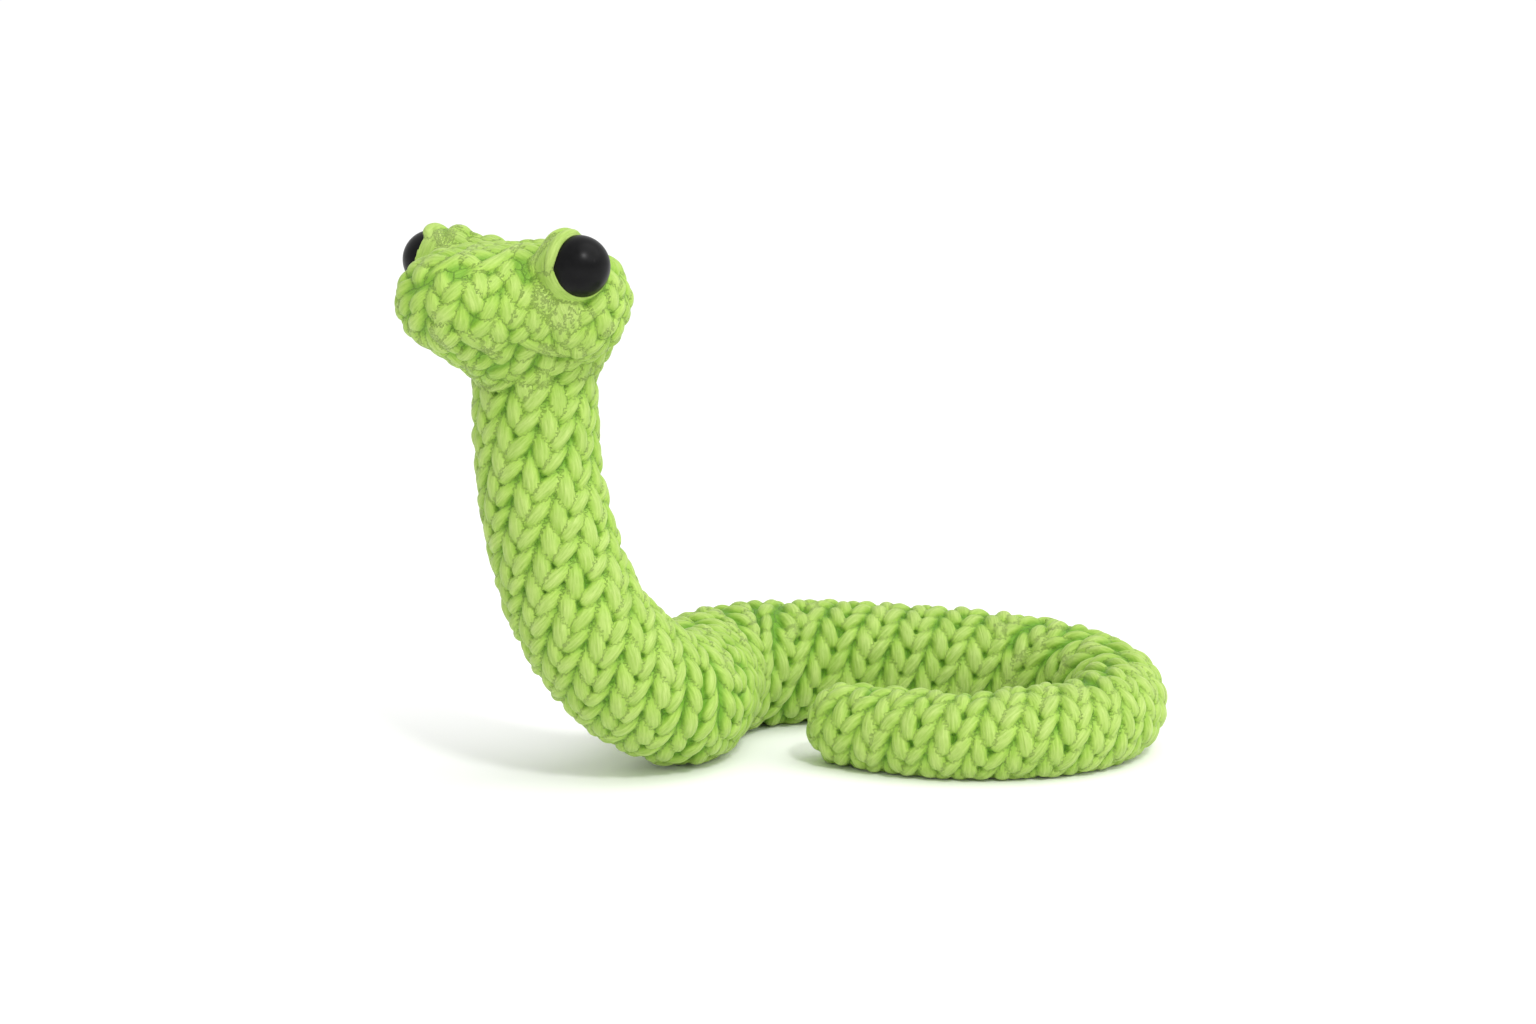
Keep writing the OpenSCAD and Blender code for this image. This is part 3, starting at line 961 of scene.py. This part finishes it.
def yarnMaterial():
    look = yarnFinish
    mat, tree, skin = material("limeYarn")
    grain = node(tree, "ShaderNodeAttribute", attribute_name="grain")
    shadeHeight = node(tree, "ShaderNodeAttribute", attribute_name="shadeHeight")
    strand = node(tree, "ShaderNodeGroup", node_tree=fibres)
    strand.inputs["Along"].default_value = look["along"]
    strand.inputs["Across"].default_value = look["across"]
    tree.links.new(grain.outputs["Vector"], strand.inputs["Grain"])
    # painted shade and light: the colour goes darker and more saturated into the crevices and lighter
    # on the crests, by the yarn's height over the filling
    shadeStops = [(0.05, look["paintedCreaseShade"]), (0.55, look["body"]), (1.0, look["paintedCrestLight"])]
    depth = ramp(tree, shadeHeight.outputs["Fac"], shadeStops)
    tone = ramp(tree, strand.outputs["Strand Tone"], [(0.0, look["dull"]), (1.0, look["bright"])])
    lines = ramp(tree, strand.outputs["Streak"], [(0.30, look["lineDark"]), (0.72, look["lineLight"])])
    colour = multiply(tree, multiply(tree, depth, tone, 1.0), lines, look["lineStrength"])
    tree.links.new(colour, skin.inputs["Base Color"])
    rough = node(tree, "ShaderNodeMapRange")
    for name, spread in zip(("To Min", "To Max"), look["roughSpread"]):
        rough.inputs[name].default_value = look["roughness"] + spread
    tree.links.new(strand.outputs["Fuzz"], rough.inputs["Value"])
    tree.links.new(rough.outputs["Result"], skin.inputs["Roughness"])
    height = node(tree, "ShaderNodeMath", operation="MULTIPLY_ADD")
    height.inputs[1].default_value = look["streakShare"]
    fine = node(tree, "ShaderNodeMath", operation="MULTIPLY")
    fine.inputs[1].default_value = look["fuzzShare"]
    tree.links.new(strand.outputs["Fuzz"], fine.inputs[0])
    tree.links.new(strand.outputs["Streak"], height.inputs[0])
    tree.links.new(fine.outputs[0], height.inputs[2])
    bump = node(tree, "ShaderNodeBump")
    bump.inputs["Strength"].default_value = look["bump"]
    bump.inputs["Distance"].default_value = look["bumpDepth"]
    tree.links.new(height.outputs[0], bump.inputs["Height"])
    tree.links.new(bump.outputs["Normal"], skin.inputs["Normal"])
    skin.inputs["Specular IOR Level"].default_value = look["specular"]
    skin.inputs["Sheen Weight"].default_value = look["sheen"]
    skin.inputs["Sheen Roughness"].default_value = look["sheenRoughness"]
    return mat


def mottledMaterial(name, low, high, roughness, scale, bumpDepth, specular=0.5):
    mat, tree, skin = material(name)
    spot = node(tree, "ShaderNodeTexCoord")
    noise = node(tree, "ShaderNodeTexNoise")
    noise.inputs["Scale"].default_value = scale
    noise.inputs["Detail"].default_value = 4.0
    tree.links.new(spot.outputs["Object"], noise.inputs["Vector"])
    colour = ramp(tree, noise.outputs["Fac"], [(0.3, low), (0.7, high)])
    tree.links.new(colour, skin.inputs["Base Color"])
    rough = node(tree, "ShaderNodeMapRange")
    rough.inputs["To Min"].default_value = roughness - 0.07
    rough.inputs["To Max"].default_value = roughness + 0.07
    tree.links.new(noise.outputs["Fac"], rough.inputs["Value"])
    tree.links.new(rough.outputs["Result"], skin.inputs["Roughness"])
    bump = node(tree, "ShaderNodeBump")
    bump.inputs["Distance"].default_value = bumpDepth
    bump.inputs["Strength"].default_value = 0.5
    tree.links.new(noise.outputs["Fac"], bump.inputs["Height"])
    tree.links.new(bump.outputs["Normal"], skin.inputs["Normal"])
    skin.inputs["Specular IOR Level"].default_value = specular
    return mat


fillFinish = {"low": (0.78, 0.78, 0.74), "high": (0.90, 0.90, 0.87),
              "roughness": 0.9, "scale": 900, "bumpDepth": 0.0003}
spineFinish = {"low": (0.62, 0.65, 0.68), "high": (0.70, 0.73, 0.75),
               "roughness": 0.42, "scale": 260, "bumpDepth": 0.00003}
beadFinish = {"low": (0.0030, 0.0030, 0.0034), "high": (0.0065, 0.0065, 0.0070),
              "roughness": 0.31, "scale": 420, "bumpDepth": 0.00002, "specular": 0.11}

limeYarn = yarnMaterial()
fillFibre = mottledMaterial("fillFibre", **fillFinish)
spinePlastic = mottledMaterial("spinePlastic", **spineFinish)
blackBead = mottledMaterial("blackBead", **beadFinish)


def paint(obj, mat):
    if not obj.data.materials:
        obj.data.materials.append(mat)
    for i in range(len(obj.data.materials)):
        obj.data.materials[i] = mat


for name, obj in frame["nodes"].items():
    if name.startswith("eye"):
        paint(obj, blackBead)
    elif name.startswith("fill") or name == "head_fill":
        paint(obj, fillFibre)
    elif name.startswith("link") or name.startswith("washer") or name == "head_link":
        paint(obj, spinePlastic)
    else:
        paint(obj, limeYarn)
print("materials done")


def skinOf(bodyName):
    if bodyName == "head":
        return "head_skin"
    return "skin_" + bodyName.replace("tail_", "t").replace("neck_", "n")


for k, (name, sleeve) in enumerate(sleeves, 1):
    j = jointNamed[name]
    paint(sleeve, limeYarn)
    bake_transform(sleeve)
    if name == "coil_01":
        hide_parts(skinOf("base"), skinOf(j["child"]))
    else:
        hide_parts(skinOf(j["child"]))
print("sleeves fitted")

studio = {
    "floor": 8.0,
    "sky": 0.79, "backdrop": 1.04,     # the light it gives, and how white it looks
    # a broad key, high on the right, and a small disk that lights the front and the beads
    "key": {"from": (0.62, -0.25, 0.80), "aim": (0.0, 0.0, 0.0),
            "angle": math.radians(70), "power": 1.38},
    "front": {"from": (0.27, -0.58, 0.66), "aim": (-0.02, -0.03, 0.09), "size": 0.13, "power": 2.5},
}


def buildFloor():
    w = studio["floor"]
    corners = [(-w, -w, 0), (w, -w, 0), (w, w, 0), (-w, w, 0)]
    obj = meshObject("floor", corners, [(0, 1, 2, 3)], smooth=False)
    mat, _, skin = material("paleFloor")
    skin.inputs["Base Color"].default_value = (0.97, 0.97, 0.97, 1)
    skin.inputs["Roughness"].default_value = 0.9
    skin.inputs["Specular IOR Level"].default_value = 0.1
    paint(obj, mat)


def addLight(name, kind):
    values = studio[name]
    data = bpy.data.lights.new(name, kind)
    data.energy = values["power"]
    obj = bpy.data.objects.new(name, data)
    way = Vector(values["aim"]) - Vector(values["from"])
    obj.rotation_euler = way.to_track_quat("-Z", "Y").to_euler()
    scene.collection.objects.link(obj)
    if kind == "SUN":
        data.angle = values["angle"]
    else:
        data.shape = "DISK"
        data.size = values["size"]
        obj.location = values["from"]


def buildWorld():
    world = bpy.data.worlds.new("studioSky")
    world.use_nodes = True
    tree = world.node_tree
    sky = tree.nodes["Background"]
    sky.inputs["Color"].default_value = (1, 1, 1, 1)
    seen = node(tree, "ShaderNodeLightPath")
    level = node(tree, "ShaderNodeMapRange")
    level.inputs["To Min"].default_value = studio["sky"]
    level.inputs["To Max"].default_value = studio["backdrop"]
    tree.links.new(seen.outputs["Is Camera Ray"], level.inputs["Value"])
    tree.links.new(level.outputs["Result"], sky.inputs["Strength"])
    scene.world = world
    scene.view_settings.view_transform = "Standard"


lens = {"focal": 60, "sensor": 36, "at": (0.0149, -0.4883, 0.1203), "down": math.radians(8.5)}


def buildCamera():
    data = bpy.data.cameras.new("camera")
    data.lens = lens["focal"]
    data.sensor_width = lens["sensor"]
    data.clip_start = 0.01
    obj = bpy.data.objects.new("camera", data)
    obj.location = lens["at"]
    obj.rotation_euler = (math.pi / 2 - lens["down"], 0, 0)
    scene.collection.objects.link(obj)
    scene.camera = obj


buildFloor()
addLight("key", "SUN")
addLight("front", "AREA")
buildWorld()
buildCamera()
print("studio done")
